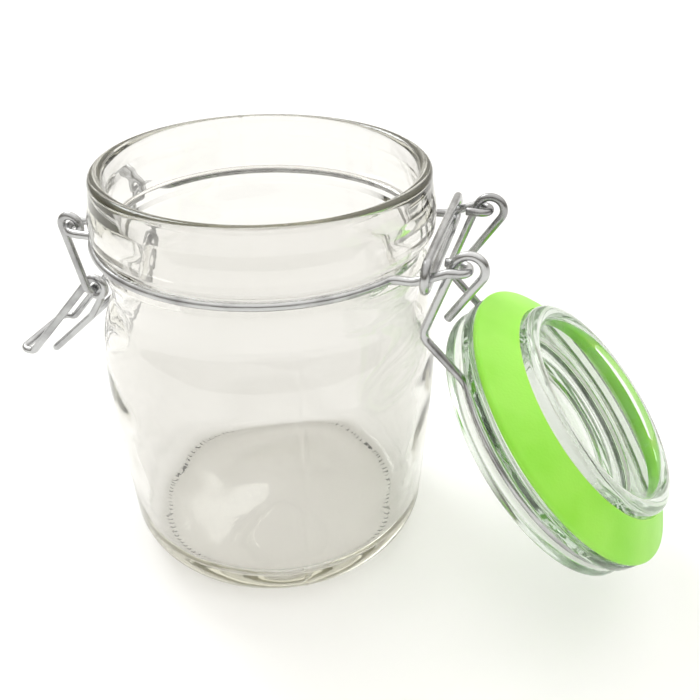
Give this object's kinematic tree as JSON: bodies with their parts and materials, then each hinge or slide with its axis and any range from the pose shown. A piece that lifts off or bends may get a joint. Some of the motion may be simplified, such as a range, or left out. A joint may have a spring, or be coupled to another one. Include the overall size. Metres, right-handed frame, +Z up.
{
  "type": "clip-top preserving jar",
  "caption": "Squat clear glass preserving jar with a hinged glass lid, a green rubber seal and a sprung wire clasp, standing open to be filled.",
  "frame": {"origin": "on the table, under the middle of the whole with the lid open", "axes": "+Z up along the jar's axis, +X from the clasp towards the hinge, +Y to the side"},
  "size_m": [0.1942, 0.0932, 0.114],
  "materials": {
    "glass": "clear, fire-polished",
    "seal": "smooth, slightly translucent",
    "wire": "bright drawn wire"
  },
  "bodies": {
    "jar_body": {"jar": "glass", "neck_wire": "wire", "hinge_link": "wire"},
    "lid": {"lid_glass": "glass", "gasket": "seal", "lid_wire": "wire"},
    "lever_body": {"lever": "wire"},
    "bail_body": {"bail": "wire"}
  },
  "joints": [
    {"name": "lid_hinge", "type": "hinge", "parent": "jar_body", "child": "lid", "pos_m": [0.03858, 0, 0.10035], "axis": [0, 1, 0], "range_deg": [-225.1, 0]},
    {"name": "lever_pivot", "type": "hinge", "parent": "jar_body", "child": "lever_body", "pos_m": [-0.06692, 0, 0.0964], "axis": [0, 1, 0], "range_deg": [0, 90]},
    {"name": "bail_pivot", "type": "hinge", "parent": "lever_body", "child": "bail_body", "pos_m": [-0.06552, 0, 0.0765], "axis": [0, 1, 0], "range_deg": [0, 70]}
  ]
}
